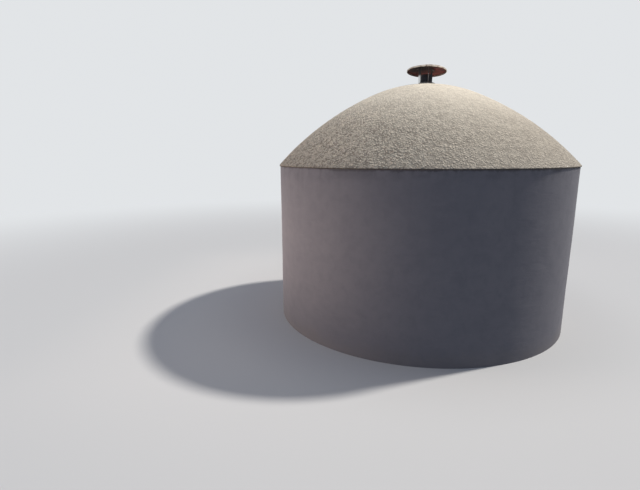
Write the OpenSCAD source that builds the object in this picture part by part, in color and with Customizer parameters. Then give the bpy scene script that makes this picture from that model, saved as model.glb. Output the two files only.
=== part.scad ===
// Rondavel hut: a round plastered wall, a domed roof in eight bays and a flue with a cowl.
// The origin is at the centre of the hut on the ground, +Z up, and the doorway faces -Y.

/* [Wall] */
// Outside radius of the round wall
wall_r = 1500; // [1300:10:1700]
// Thickness of the wall with its plaster
wall_thk = 230; // [180:5:280]
// Height of the wall from the ground to the eave
wall_h = 1600; // [1500:10:1900]

/* [Doorway] */
// Width of the opening through the wall
doorway_w = 760; // [700:10:840]
// Height of the lintel over the opening
lintel_h = 75; // [50:5:100]
// Length of wall that carries the lintel at each end
lintel_seat_l = 150; // [100:10:200]
// Height of wall between the lintel and the eave
over_door_h = 75; // [40:5:120]

/* [Floor] */
// Thickness of the floor slab and the threshold
floor_h = 50; // [30:5:80]

/* [Roof] */
// Rise of the dome from the top of its eave lip to its crown
dome_rise = 812; // [740:2:880]
// Radius of the rounded crown
crown_r = 1365; // [1250:5:1500]
// Slope at which the crown passes into the flatter flank, in degrees
crown_slope = 24; // [20:1:30]
// Thickness of the dome shell
dome_thk = 80; // [60:5:100]
// How far the eave lip stands out past the wall
eave_out = 8; // [4:1:30]
// Height of the upright eave lip
eave_lip = 10; // [6:1:25]
// Radius of the crown piece that closes the eight bays
crown_piece_r = 300; // [220:10:380]

/* [Flue] */
// Outside diameter of the flue pipe
flue_d = 120; // [100:5:150]
// Wall of the flue pipe
flue_wall = 3; // [2:0.5:6]
// Sideways place of the flue from the centre of the crown
flue_x = -32; // [-60:2:60]
// Height of the flue pipe above the crown
flue_up = 100; // [80:5:150]
// Length of the flue pipe that hangs below the ceiling
flue_down = 60; // [20:5:120]
// Width of the mortar haunching round the foot of the flue
haunch_w = 45; // [30:5:80]
// Width of the mortar haunching at its top
haunch_top_w = 10; // [5:1:20]
// Height of the mortar haunching on the crown
haunch_h = 22; // [15:1:40]

/* [Cowl] */
// Diameter of the cowl
cowl_d = 400; // [340:10:480]
// Depth of the skirt round the rim of the cowl
cowl_skirt = 12; // [10:1:40]
// Rise of the cowl's cone from its rim to its tip
cowl_rise = 48; // [30:1:80]
// Thickness of the cowl's sheet
cowl_thk = 2.5; // [1.5:0.5:5]
// Height of the middle of the cowl's rim over the top of the flue pipe
cowl_gap = 43; // [25:1:80]
// Tilt that lifts the cowl's rim on the side away from the doorway, in degrees
cowl_tilt = 5.5; // [0:0.5:9]
// Lean that lowers the cowl's rim on its +X side, in degrees
cowl_lean = -3; // [-6:0.5:6]
// Radius of the rolled bead round the foot of the skirt
cowl_bead_r = 4; // [3:0.5:6]

/* [Cowl straps] */
// Width of each flat strap, which stands on edge against the pipe
strap_w = 25; // [15:1:40]
// Thickness of each flat strap
strap_t = 3; // [2:0.5:5]
// Length of strap welded to the flue pipe
strap_hold = 75; // [40:5:75]
// Length of the tab under the cowl, measured outwards
strap_tab = 50; // [30:5:70]
// Direction of the first strap round the pipe, in degrees
strap_turn = 92; // [0:1:119]

/* [Door frame] */
// Width of the frame timbers across the opening
frame_w = 45; // [35:1:60]
// Depth of the frame timbers through the wall
frame_d = 95; // [70:5:120]
// Distance of the frame behind the wall face at the jambs
frame_setback = 25; // [5:5:40]
// Width of the rebate that takes the door
rebate_w = 12; // [8:1:18]

/* [Door] */
// Thickness of the door boards
board_t = 22; // [18:1:30]
// Number of boards across the door
board_count = 6; // [5:1:8]
// Width of the V joint between two boards
joint_w = 6; // [3:1:10]
// Depth of the V joint between two boards
joint_depth = 3; // [2:0.5:5]
// Gap between the door and its frame
door_gap = 3; // [2:0.5:6]
// Gap under the door
door_foot_gap = 6; // [4:1:15]
// Width of the ledges across the back of the door
ledge_w = 110; // [80:5:140]
// Thickness of the ledges and braces
ledge_t = 22; // [18:1:30]
// Distance of the outer ledges from the ends of the door
ledge_inset = 150; // [100:10:220]
// Length of a brace's cut end along its ledge
brace_foot = 120; // [80:5:160]

/* [Door fittings] */
// Length of a hinge strap over the boards
hinge_l = 320; // [240:10:420]
// Width of a hinge strap at its knuckle
hinge_root_w = 40; // [30:2:56]
// Width of a hinge strap at its tip
hinge_tip_w = 22; // [14:2:30]
// Thickness of the hinge and bolt plates
plate_t = 3; // [2:0.5:5]
// Diameter of the hinge pins
hinge_pin_d = 8; // [6:1:12]
// Height of the hinge plate on the jamb
hinge_plate_h = 110; // [90:5:150]
// Height of the bolt above the ground
bolt_z = 850; // [760:10:960]
// Diameter of the sliding bolt
bolt_d = 14; // [10:1:18]
// Diameter of the knob on the sliding bolt
bolt_knob_d = 14; // [10:1:20]
// Length of the knob on the sliding bolt
bolt_knob_l = 21; // [14:1:30]
// Length of bolt that shows past its plate at the back
bolt_tail = 14; // [6:1:30]
// Length of bolt shot past the edge of the frame
bolt_throw = 26; // [20:1:30]
// Width of each bolt guide
guide_w = 14; // [8:1:18]
// Wall of metal round the bolt in each guide
guide_wall = 5; // [3:0.5:7]
// Length of the bolt plate on the door
bolt_plate_l = 130; // [110:5:160]
// Height of the bolt plate
bolt_plate_h = 44; // [36:2:56]
// Distance of the pull handle from the bolt edge of the door
pull_inset = 190; // [150:5:240]
// Space between the bolt plate and the foot of the pull handle
pull_over_bolt = 60; // [40:5:100]
// Length of the grip of the pull handle
pull_l = 140; // [100:5:200]
// Diameter of the bar of the pull handle
pull_d = 10; // [8:1:14]
// Space between the door and the grip of the pull handle
pull_reach = 34; // [28:1:50]

/* [Hidden] */
wall_parts = 8;
roof_parts = 8;
strap_count = 3;
roof_turn = 360 / roof_parts / 2;
fit = 0.2;
cut = 1;
arc_steps = 8;
round_steps = 180;
$fn = 96;

wall_colour = "#7d7c85";
roof_colour = "#cfc1ab";
floor_colour = "#8f8a82";
lintel_colour = "#85848c";
mortar_colour = "#a79b88";
flue_colour = "#35343a";
rust_colour = "#6b3a30";
zinc_colour = "#b4b4b2";
timber_colour = "#6e5a46";
iron_colour = "#3c3a3a";

wall_in_r = wall_r - wall_thk;
wall_step = 360 / wall_parts;
lintel_top = wall_h - over_door_h;
doorway_h = lintel_top - lintel_h;
lintel_half = asin(doorway_w / 2 / wall_in_r) + lintel_seat_l / wall_in_r * 180 / PI;

// The dome is two tangent arcs, a tight one over the crown and a flatter one down the flank.
eave_r = wall_r + eave_out;
eave_top = wall_h + eave_lip;
crown_z = eave_top + dome_rise;
crown_centre_z = crown_z - crown_r;
turn_r = crown_r * sin(crown_slope);
turn_z = crown_centre_z + crown_r * cos(crown_slope);
eave_slope = 2 * atan2(turn_z - eave_top, eave_r - turn_r) - crown_slope;
flank_r = (eave_r - turn_r) / (sin(eave_slope) - sin(crown_slope));
flank_centre = [turn_r - flank_r * sin(crown_slope), turn_z - flank_r * cos(crown_slope)];
crown_piece_slope = asin(crown_piece_r / crown_r);
flank_in_r = flank_r - dome_thk;
foot_slope = asin((wall_in_r - flank_centre[0]) / flank_in_r);

flue_r = flue_d / 2;
ceiling_z = crown_z - dome_thk;
flue_top = crown_z + flue_up;
haunch_r = flue_r + haunch_w;
cowl_r = cowl_d / 2;
rim_z = flue_top + cowl_gap;
cowl_pitch = atan2(cowl_rise, cowl_r);
cowl_slant = cowl_thk / cos(cowl_pitch);

frame_front = -(sqrt(wall_r * wall_r - doorway_w * doorway_w / 4) - frame_setback);
frame_back = frame_front + frame_d;
clear_half = doorway_w / 2 - frame_w;
clear_top = doorway_h - frame_w;
leaf_half = clear_half + rebate_w - door_gap;
leaf_foot = floor_h + door_foot_gap;
leaf_top = clear_top + rebate_w - door_gap;
rebate_d = board_t + door_gap;
board_w = 2 * leaf_half / board_count;
ledge_half = clear_half - 2 * door_gap;
ledge_low = leaf_foot + ledge_inset;
ledge_high = leaf_top - ledge_inset - ledge_w;
ledge_mid = (ledge_low + ledge_high) / 2;
ledge_front = frame_front + board_t;

knuckle_r = hinge_pin_d / 2 + plate_t;
knuckle_h = hinge_root_w;
pin_x = -(leaf_half + door_gap / 2);
pin_y = frame_front - knuckle_r;
hinge_leaf_w = clear_half + frame_w + pin_x - 2 * fit;
bolt_r = bolt_d / 2;
guide_r = bolt_r + guide_wall;
bolt_y = frame_front - plate_t - guide_r;
bolt_plate_x = leaf_half - bolt_plate_l - 2 * door_gap;
keep_x = clear_half + rebate_w + fit;
pull_x = leaf_half - pull_inset;
pull_z = bolt_z + bolt_plate_h / 2 + pull_over_bolt;

// Points of an arc in the plane of a revolve, from one slope to another.
function arc_points(centre, r, from, to) = [
    for (i = [0 : arc_steps])
        let (a = from + (to - from) * i / arc_steps)
        [centre[0] + r * sin(a), centre[1] + r * cos(a)]
];

module ring_sector(r_in, r_out, z, h, from, sweep) {
    translate([0, 0, z])
        rotate([0, 0, from])
            rotate_extrude(angle = sweep, $fn = round_steps)
                translate([r_in, 0])
                    square([r_out - r_in, h]);
}

module wall_ring(z, h, from, sweep) {
    ring_sector(wall_in_r, wall_r, z, h, from, sweep);
}

module doorway_slot(z, h) {
    translate([-doorway_w / 2, -wall_r - cut, z])
        cube([doorway_w, wall_r, h]);
}

module lintel_block() {
    wall_ring(doorway_h, lintel_h, -90 - lintel_half, 2 * lintel_half);
}

module floor_slab() {
    color(floor_colour)
        cylinder(h = floor_h, r = wall_in_r);
}

module threshold() {
    color(floor_colour)
        intersection() {
            wall_ring(0, floor_h, -90 - wall_step, 2 * wall_step);
            doorway_slot(0, floor_h);
        }
}

module wall_segment(i) {
    color(wall_colour)
        difference() {
            wall_ring(0, wall_h, -90 + (i - 1) * wall_step, wall_step);
            doorway_slot(-cut, wall_h + 2 * cut);
            lintel_block();
        }
}

module lintel() {
    color(lintel_colour)
        lintel_block();
}

module wall_over_door() {
    color(wall_colour)
        intersection() {
            wall_ring(lintel_top, wall_h - lintel_top, -90 - wall_step, 2 * wall_step);
            doorway_slot(lintel_top, wall_h - lintel_top);
        }
}

// Section of one roof bay: crown arc, flank arc, eave lip, and a thick foot as wide as the wall.
module bay_section() {
    polygon(concat(
        arc_points([0, crown_centre_z], crown_r, crown_piece_slope, crown_slope),
        arc_points(flank_centre, flank_r, crown_slope, eave_slope),
        [[eave_r, wall_h], [wall_in_r, wall_h]],
        arc_points(flank_centre, flank_in_r, foot_slope, crown_slope),
        arc_points([0, crown_centre_z], crown_r - dome_thk, crown_slope, crown_piece_slope)
    ));
}

module roof_bay(i) {
    color(roof_colour)
        rotate([0, 0, -90 - roof_turn + (i - 1) * 360 / roof_parts])
            rotate_extrude(angle = 360 / roof_parts)
                bay_section();
}

module crown_dome() {
    rotate_extrude()
        polygon(concat(
            arc_points([0, crown_centre_z], crown_r, 0, crown_piece_slope),
            arc_points([0, crown_centre_z], crown_r - dome_thk, crown_piece_slope, 0)
        ));
}

module flue_bore(z, h) {
    translate([flue_x, 0, z])
        cylinder(h = h, r = flue_r + fit);
}

module roof_crown() {
    color(roof_colour)
        difference() {
            crown_dome();
            flue_bore(ceiling_z - dome_thk, 3 * dome_thk);
        }
}

// The haunching is a cone round the pipe, hollowed underneath to sit on the dome.
module flue_haunching() {
    flare = (haunch_w - haunch_top_w) / haunch_h;
    color(mortar_colour)
        difference() {
            translate([flue_x, 0, ceiling_z])
                cylinder(h = dome_thk + haunch_h, r1 = haunch_r + dome_thk * flare, r2 = flue_r + haunch_top_w);
            rotate_extrude()
                polygon(concat(
                    arc_points([0, crown_centre_z], crown_r, 0, crown_piece_slope),
                    [[0, crown_centre_z]]
                ));
            flue_bore(ceiling_z - cut, dome_thk + haunch_h + 2 * cut);
        }
}

module flue_pipe() {
    color(flue_colour)
        translate([flue_x, 0, ceiling_z - flue_down])
            difference() {
                cylinder(h = flue_top - ceiling_z + flue_down, r = flue_r);
                translate([0, 0, -cut])
                    cylinder(h = flue_top - ceiling_z + flue_down + 2 * cut, r = flue_r - flue_wall);
            }
}

// Slope that the tilt and lean give the cowl's rim in one direction round the pipe.
function rim_slope(turn) = sin(turn) * tan(cowl_tilt) / cos(cowl_lean) - cos(turn) * tan(cowl_lean);

// Point just under the cone of the cowl, at a distance from the middle of the pipe.
function under_cone(out, turn) = [
    out,
    rim_z + (cowl_r - out) * tan(cowl_pitch) - cowl_slant + out * rim_slope(turn) - fit
];

// A flat strap on edge against the pipe, with a tab across its top that follows the tilted cone.
module cowl_strap(i) {
    turn = strap_turn + (i - 1) * 360 / strap_count;
    tab_in = under_cone(flue_r, turn);
    tab_out = under_cone(flue_r + strap_tab, turn);
    color(zinc_colour)
        translate([flue_x, 0, 0])
            rotate([90, 0, turn]) {
                linear_extrude(strap_t, center = true)
                    polygon([
                        [flue_r, flue_top - strap_hold],
                        [flue_r + strap_w, flue_top - strap_hold],
                        under_cone(flue_r + strap_w, turn),
                        tab_in
                    ]);
                linear_extrude(strap_w, center = true)
                    polygon([tab_in, tab_out, tab_out - [0, strap_t], tab_in - [0, strap_t]]);
            }
}

// The cowl is a shallow cone with a skirt and a rolled bead, tilted as one on its straps.
module cowl() {
    color(rust_colour)
        translate([flue_x, 0, rim_z])
            rotate([cowl_tilt, cowl_lean, 0])
                union() {
                    rotate_extrude()
                        polygon([
                            [0, cowl_rise],
                            [cowl_r, 0],
                            [cowl_r, -cowl_skirt],
                            [cowl_r - cowl_thk, -cowl_skirt],
                            [cowl_r - cowl_thk, cowl_thk * tan(cowl_pitch) - cowl_slant],
                            [0, cowl_rise - cowl_slant]
                        ]);
                    rotate_extrude()
                        translate([cowl_r - cowl_thk / 2, -cowl_skirt])
                            circle(r = cowl_bead_r);
                }
}

module frame_jamb(side) {
    color(timber_colour)
        difference() {
            translate([side > 0 ? clear_half : -clear_half - frame_w, frame_front, floor_h])
                cube([frame_w, frame_d, clear_top - floor_h]);
            leaf_rebate();
        }
}

module leaf_rebate() {
    translate([-clear_half - rebate_w, frame_front - cut, 0])
        cube([2 * (clear_half + rebate_w), rebate_d + cut, clear_top + rebate_w]);
}

module frame_head() {
    color(timber_colour)
        difference() {
            translate([-clear_half - frame_w, frame_front, clear_top])
                cube([2 * (clear_half + frame_w), frame_d, frame_w]);
            leaf_rebate();
        }
}

module door_boards() {
    color(timber_colour)
        difference() {
            translate([-leaf_half, frame_front, leaf_foot])
                cube([2 * leaf_half, board_t, leaf_top - leaf_foot]);
            for (i = [1 : board_count - 1])
                translate([-leaf_half + i * board_w, frame_front, leaf_foot - cut])
                    linear_extrude(leaf_top - leaf_foot + 2 * cut)
                        polygon([
                            [-joint_w / 2, -cut],
                            [joint_w / 2, -cut],
                            [joint_w / 2, 0],
                            [0, joint_depth],
                            [-joint_w / 2, 0]
                        ]);
        }
}

module ledge(z) {
    color(timber_colour)
        translate([-ledge_half, ledge_front, z])
            cube([2 * ledge_half, ledge_t, ledge_w]);
}

// A brace rises from the hinge side of one ledge to the bolt side of the next.
module brace(z) {
    rise = ledge_mid - ledge_low - ledge_w;
    inset = 2 * door_gap;
    color(timber_colour)
        translate([0, ledge_front + ledge_t, z + ledge_w])
            rotate([90, 0, 0])
                linear_extrude(ledge_t)
                    polygon([
                        [-ledge_half + inset, 0],
                        [-ledge_half + inset + brace_foot, 0],
                        [ledge_half - inset, rise],
                        [ledge_half - inset - brace_foot, rise]
                    ]);
}

module hinge_strap(z) {
    strap_root = pin_x + knuckle_r;
    color(iron_colour)
        translate([0, 0, z])
            difference() {
                union() {
                    translate([0, frame_front, 0])
                        rotate([90, 0, 0])
                            linear_extrude(plate_t)
                                polygon([
                                    [pin_x, -hinge_root_w / 2],
                                    [strap_root, -hinge_root_w / 2],
                                    [pin_x + hinge_l, -hinge_tip_w / 2],
                                    [pin_x + hinge_l + hinge_tip_w / 3, 0],
                                    [pin_x + hinge_l, hinge_tip_w / 2],
                                    [strap_root, hinge_root_w / 2],
                                    [pin_x, hinge_root_w / 2]
                                ]);
                    translate([pin_x, pin_y, -knuckle_h / 2])
                        cylinder(h = knuckle_h, r = knuckle_r);
                }
                translate([pin_x, pin_y, -knuckle_h / 2 - cut])
                    cylinder(h = knuckle_h + 2 * cut, r = hinge_pin_d / 2 + fit);
            }
}

module hinge_plate(z) {
    end_h = (hinge_plate_h - knuckle_h) / 2 - fit;
    color(iron_colour)
        translate([0, 0, z]) {
            for (s = [-1, 1])
                translate([pin_x, pin_y, s * (knuckle_h / 2 + fit + end_h / 2)])
                    cylinder(h = end_h, r = knuckle_r, center = true);
            translate([pin_x, pin_y, -hinge_plate_h / 2])
                cylinder(h = hinge_plate_h, r = hinge_pin_d / 2);
            difference() {
                translate([pin_x - hinge_leaf_w, frame_front - plate_t, -hinge_plate_h / 2])
                    cube([hinge_leaf_w, plate_t, hinge_plate_h]);
                translate([pin_x - knuckle_r - fit, frame_front - plate_t - cut, -knuckle_h / 2 - fit])
                    cube([knuckle_r + 2 * fit, plate_t + 2 * cut, knuckle_h + 2 * fit]);
            }
        }
}

// A guide is a round-topped block on the plate, bored for the bolt.
module guide(x) {
    translate([x, 0, bolt_z])
        rotate([0, 90, 0])
            difference() {
                union() {
                    translate([0, bolt_y, 0])
                        cylinder(h = guide_w, r = guide_r);
                    translate([-guide_r, bolt_y, 0])
                        cube([2 * guide_r, guide_r, guide_w]);
                }
                translate([0, bolt_y, -cut])
                    cylinder(h = guide_w + 2 * cut, r = bolt_r + fit);
            }
}

module bolt_plate() {
    color(iron_colour) {
        translate([bolt_plate_x, frame_front - plate_t, bolt_z - bolt_plate_h / 2])
            cube([bolt_plate_l, plate_t, bolt_plate_h]);
        guide(bolt_plate_x + guide_w / 2);
        guide(bolt_plate_x + bolt_plate_l - guide_w);
    }
}

module bolt_bar() {
    color(iron_colour)
        translate([0, bolt_y, bolt_z]) {
            translate([bolt_plate_x - bolt_tail, 0, 0])
                rotate([0, 90, 0])
                    cylinder(h = keep_x + bolt_throw - bolt_plate_x + bolt_tail, r = bolt_r);
            translate([bolt_plate_x + bolt_plate_l / 2, 0, 0])
                rotate([90, 0, 0])
                    cylinder(h = bolt_knob_l, r = bolt_knob_d / 2);
        }
}

module bolt_keep() {
    keep_w = clear_half + frame_w - keep_x - fit;
    color(iron_colour) {
        translate([keep_x, frame_front - plate_t, bolt_z - bolt_plate_h / 2])
            cube([keep_w, plate_t, bolt_plate_h]);
        guide(keep_x + (keep_w - guide_w) / 2);
    }
}

// The pull is one round bar with a quarter bend at each end and a round rose on each foot.
module pull_handle() {
    bend_r = pull_d;
    color(iron_colour)
        translate([pull_x, frame_front, pull_z + pull_l / 2]) {
            translate([0, -pull_reach, -(pull_l / 2 - bend_r)])
                cylinder(h = pull_l - 2 * bend_r, r = pull_d / 2);
            for (s = [0, 1])
                mirror([0, 0, s]) {
                    translate([0, -pull_reach + bend_r, pull_l / 2 - bend_r])
                        rotate([0, -90, 0])
                            rotate([0, 0, -90])
                                rotate_extrude(angle = 90)
                                    translate([bend_r, 0])
                                        circle(r = pull_d / 2);
                    translate([0, 0, pull_l / 2])
                        rotate([90, 0, 0])
                            cylinder(h = pull_reach - bend_r, r = pull_d / 2);
                    translate([0, 0, pull_l / 2])
                        rotate([90, 0, 0])
                            cylinder(h = plate_t, r = pull_d + plate_t);
                }
        }
}

floor_slab();
threshold();
for (i = [1 : wall_parts])
    wall_segment(i);
lintel();
wall_over_door();
for (i = [1 : roof_parts])
    roof_bay(i);
roof_crown();
flue_haunching();
flue_pipe();
for (i = [1 : strap_count])
    cowl_strap(i);
cowl();
frame_jamb(-1);  // frame_jamb_left
frame_jamb(1);  // frame_jamb_right
frame_head();
door_boards();
ledge(ledge_high);  // top_ledge
ledge(ledge_mid);  // middle_ledge
ledge(ledge_low);  // bottom_ledge
brace(ledge_mid);  // upper_brace
brace(ledge_low);  // lower_brace
hinge_strap(ledge_high + ledge_w / 2);  // upper_hinge_strap
hinge_strap(ledge_low + ledge_w / 2);  // lower_hinge_strap
hinge_plate(ledge_high + ledge_w / 2);  // upper_hinge_plate
hinge_plate(ledge_low + ledge_w / 2);  // lower_hinge_plate
bolt_plate();
bolt_bar();
bolt_keep();
pull_handle();
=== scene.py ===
from math import asin, atan2, cos, hypot, pi, radians, sin, sqrt

import bmesh
import bpy
from mathutils import Matrix, Vector, noise


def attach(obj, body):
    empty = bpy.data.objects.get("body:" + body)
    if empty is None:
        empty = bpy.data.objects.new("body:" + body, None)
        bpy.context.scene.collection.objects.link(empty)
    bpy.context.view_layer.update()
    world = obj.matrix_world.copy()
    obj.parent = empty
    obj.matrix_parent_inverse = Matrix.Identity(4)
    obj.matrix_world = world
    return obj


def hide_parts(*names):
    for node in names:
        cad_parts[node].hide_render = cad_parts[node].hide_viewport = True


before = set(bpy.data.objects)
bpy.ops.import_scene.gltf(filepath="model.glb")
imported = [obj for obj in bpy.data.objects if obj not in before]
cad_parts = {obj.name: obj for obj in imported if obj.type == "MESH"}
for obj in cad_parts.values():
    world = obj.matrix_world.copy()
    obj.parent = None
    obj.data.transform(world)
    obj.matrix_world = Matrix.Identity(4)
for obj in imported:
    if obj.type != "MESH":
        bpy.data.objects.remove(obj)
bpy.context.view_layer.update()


# The floor is a concrete slab cast inside the wall and floated smooth with a steel trowel. The
# threshold is the same concrete carried out through the doorway, its arrises worn round by feet.

class Field:
    """A value, colour or direction that varies over a surface."""

    def __init__(self, nodes, socket):
        self.nodes = nodes
        self.socket = socket

    def worked(self, operation, first, second):
        return self.nodes.node("ShaderNodeMath", {"operation": operation}, {0: first, 1: second})

    def __add__(self, other):
        return self.worked("ADD", self, other)

    def __radd__(self, other):
        return self.worked("ADD", other, self)

    def __sub__(self, other):
        return self.worked("SUBTRACT", self, other)

    def __rsub__(self, other):
        return self.worked("SUBTRACT", other, self)

    def __mul__(self, other):
        return self.worked("MULTIPLY", self, other)

    def __rmul__(self, other):
        return self.worked("MULTIPLY", other, self)

    def __truediv__(self, other):
        return self.worked("DIVIDE", self, other)

    def __rtruediv__(self, other):
        return self.worked("DIVIDE", other, self)


class Nodes:
    """The nodes of a finish or of the sky, and the one way in which a node is added to them."""

    def __init__(self, tree):
        self.tree = tree

    def node(self, kind, settings=None, inputs=None, out=0):
        made = self.tree.nodes.new(kind)
        for name, value in (settings or {}).items():
            setattr(made, name, value)
        self.connect(made, inputs or {})
        return Field(self, made.outputs[out])

    def connect(self, node, inputs):
        for key, value in inputs.items():
            if isinstance(value, Field):
                self.tree.links.new(value.socket, node.inputs[key])
            else:
                node.inputs[key].default_value = value

    def greater(self, first, second):
        return self.node("ShaderNodeMath", {"operation": "MAXIMUM"}, {0: first, 1: second})


class Finish(Nodes):
    """One procedural material, worked out from where each point of the hut is."""

    def __init__(self, name):
        self.material = bpy.data.materials.new(name)
        self.material.use_nodes = True
        super().__init__(self.material.node_tree)
        self.shader = self.tree.nodes["Principled BSDF"]
        self.place = self.node("ShaderNodeTexCoord", out="Object")

    def along(self, axis, of=None):
        return self.node("ShaderNodeSeparateXYZ", None, {0: of or self.place}, out=axis)

    def looking(self):
        """The direction in which the surface looks."""
        return self.node("ShaderNodeNewGeometry", out="Normal")

    def placed(self, stretch=(1, 1, 1), shift=(0, 0, 0), turn=(0, 0, 0), source=None):
        return self.node("ShaderNodeMapping", {"vector_type": "POINT"}, {
            "Vector": source or self.place, "Location": shift, "Rotation": turn, "Scale": stretch})

    def placed_height(self, place):
        """Height over the tilted foot of a piece that is set by the matrix place."""
        level = self.node("ShaderNodeVectorMath", {"operation": "DOT_PRODUCT"}, {
            0: self.place, 1: place.col[2].to_3d()}, out="Value")
        return level - place.col[2].to_3d().dot(place.translation)

    def off(self, x, y):
        """How far a point lies from the upright line through x and y."""
        return self.node("ShaderNodeVectorMath", {"operation": "LENGTH"}, {
            0: self.placed(stretch=(1, 1, 0), shift=(-x, -y, 0))}, out="Value")

    def stirred(self, scale, reach):
        """The place pushed about at random, so that a pattern on it loses its even spacing."""
        push = self.node("ShaderNodeTexNoise", {"noise_dimensions": "3D"}, {
            "Vector": self.place, "Scale": scale, "Detail": 2.0}, out="Color")
        return self.node("ShaderNodeVectorMath", {"operation": "MULTIPLY_ADD"}, {
            0: push, 1: (reach, reach, reach), 2: self.place})

    def cloud(self, scale, detail=3.0, roughness=0.55, warp=0.0, place=None):
        return self.node("ShaderNodeTexNoise", {"noise_dimensions": "3D"}, {
            "Vector": place or self.place, "Scale": scale, "Detail": detail,
            "Roughness": roughness, "Distortion": warp})

    def cells(self, scale, place=None):
        return self.node("ShaderNodeTexVoronoi", {"feature": "F1"}, {
            "Vector": place or self.place, "Scale": scale}, out="Distance")

    def lots(self, scale, place=None):
        """A number of its own, drawn by lot, for each cell of the same scale."""
        drawn = self.node("ShaderNodeTexVoronoi", {"feature": "F1"}, {
            "Vector": place or self.place, "Scale": scale}, out="Color")
        return self.along(0, drawn)

    def between(self, value, low, high):
        """0 up to low and 1 from high on, with an eased passage between them."""
        settings = {"interpolation_type": "SMOOTHSTEP", "clamp": True}
        return self.node("ShaderNodeMapRange", settings, {
            0: value, 1: low, 2: high, 3: 0.0, 4: 1.0})

    def blend(self, share, first, second):
        tones = [c if isinstance(c, Field) else (*c, 1.0) for c in (first, second)]
        return self.node("ShaderNodeMix", {"data_type": "RGBA"}, {
            0: share, 6: tones[0], 7: tones[1]}, out=2)

    def layers(self, ground, *over):
        """Lays colours over a ground in turn, each given as its share and its tone."""
        for share, tone in over:
            ground = self.blend(share, ground, tone)
        return ground

    def relief(self, height, depth):
        return self.node("ShaderNodeBump", None, {
            "Height": height, "Distance": depth, "Strength": 1.0})

    def surface(self, **sockets):
        named = {name.replace("_", " "): value for name, value in sockets.items()}
        self.connect(self.shader, named)


def piece(bm, name, finish, nodes=(), crease=40):
    """Makes a finished piece of a bmesh: smooth up to its arrises, and riding with the hut."""
    for face in bm.faces:
        face.smooth = True
    for edge in bm.edges:
        edge.smooth = len(edge.link_faces) != 2 or edge.calc_face_angle(0) < radians(crease)
    mesh = bpy.data.meshes.new(name)
    bm.to_mesh(mesh)
    bm.free()
    made = bpy.data.objects.new(name, mesh)
    bpy.context.scene.collection.objects.link(made)
    mesh.materials.append(finish.material)
    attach(made, "root")
    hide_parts(*nodes)
    return made


def round_off(bm, arrises, radius, segments):
    bmesh.ops.bevel(bm, geom=arrises, offset=radius, offset_type="OFFSET", segments=segments,
                    profile=0.5, affect="EDGES", clamp_overlap=True, material=-1)


def arrised(node, name, finish, radius, segments=3):
    """A piece cut to its CAD solid, with the arrises taken off as the real one has them."""
    bm = bmesh.new()
    bm.from_mesh(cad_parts[node].data)
    bmesh.ops.remove_doubles(bm, verts=bm.verts, dist=1e-6)
    bmesh.ops.dissolve_limit(bm, angle_limit=radians(0.5), verts=bm.verts, edges=bm.edges)
    sharp = [e for e in bm.edges if len(e.link_faces) == 2 and e.calc_face_angle(0) > radians(30)]
    round_off(bm, sharp, radius, segments)
    made = piece(bm, name, finish, [node], crease=50)
    flats = made.modifiers.new("true flats", "WEIGHTED_NORMAL")
    flats.keep_sharp = True
    return made


screed = Finish("floated screed")
wear = screed.cloud(3.0, 4.0, 0.6)
sand = screed.cloud(320.0, 2.0)
stain = screed.between(screed.cloud(7.0, 5.0, 0.65, 0.6), 0.42, 0.66)
screed.surface(
    Base_Color=screed.layers(
        screed.blend(stain, (0.33, 0.30, 0.265), (0.25, 0.225, 0.195)),
        (screed.between(wear, 0.35, 0.7) * 0.6, (0.40, 0.375, 0.34))),
    Roughness=0.62 + 0.25 * sand,
    Normal=screed.relief(sand * 0.3 + wear, 0.0015))

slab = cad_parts["floor_slab"]
slab.data.materials.clear()
slab.data.materials.append(screed.material)
arrised("threshold", "worn_threshold", screed, radius=0.010)


# The wall is one round wall of brickwork, plastered inside and out and painted blue grey. The
# plaster runs on over the lintel, turns into the doorway on a rounded arris, and is never flat.

wall_r, wall_in_r, wall_h = 1.5, 1.27, 1.6
door_half, soffit_z = 0.38, 1.45
lower_courses, upper_courses = 44, 4
courses = lower_courses + upper_courses
round_columns, door_columns = 264, 24
hair = 1e-4


def course_z(share, count, first):
    """Height of a grid line, with one line kept level with the soffit of the doorway."""
    row = first + round(share * count)
    if row <= lower_courses:
        return soffit_z * row / lower_courses
    return soffit_z + (wall_h - soffit_z) * (row - lower_courses) / upper_courses


def plaster_block(bm, columns, rows, place):
    """A closed block of wall: a grid of its outer face, drawn back to the inner one."""
    front = bmesh.ops.create_grid(bm, x_segments=columns, y_segments=rows, size=0.5)["verts"]
    faces = list({face for v in front for face in v.link_faces})
    drawn = bmesh.ops.extrude_face_region(bm, geom=faces)["geom"]
    back = [v for v in drawn if isinstance(v, bmesh.types.BMVert)]
    for verts, radius in ((front, wall_r), (back, wall_in_r)):
        for v in verts:
            v.co = place(v.co.x + 0.5, v.co.y + 0.5, radius)


def round_the_hut(share, up, radius):
    jamb = asin(door_half / radius)
    turn = -pi / 2 + jamb + share * (2 * pi - 2 * jamb)
    return Vector((radius * cos(turn), radius * sin(turn), course_z(up, courses, 0)))


def over_the_door(share, up, radius):
    x = door_half * (2 * share - 1)
    return Vector((x, -sqrt(radius ** 2 - x ** 2), course_z(up, upper_courses, lower_courses)))


def uneven(p, *waves):
    """Height of hand work at a point, from waves given as their height and their number a metre."""
    return sum(height * noise.noise(p * rate) for height, rate in waves)


wall = bmesh.new()
plaster_block(wall, round_columns, courses, round_the_hut)
plaster_block(wall, door_columns, upper_courses, over_the_door)
inside = [face for face in wall.faces if face.calc_center_median().y < 0 and all(
    abs(abs(v.co.x) - door_half) < hair and v.co.z > soffit_z - hair for v in face.verts)]
bmesh.ops.delete(wall, geom=inside, context="FACES_ONLY")
bmesh.ops.remove_doubles(wall, verts=wall.verts, dist=1e-5)
bmesh.ops.recalc_face_normals(wall, faces=wall.faces)


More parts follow.
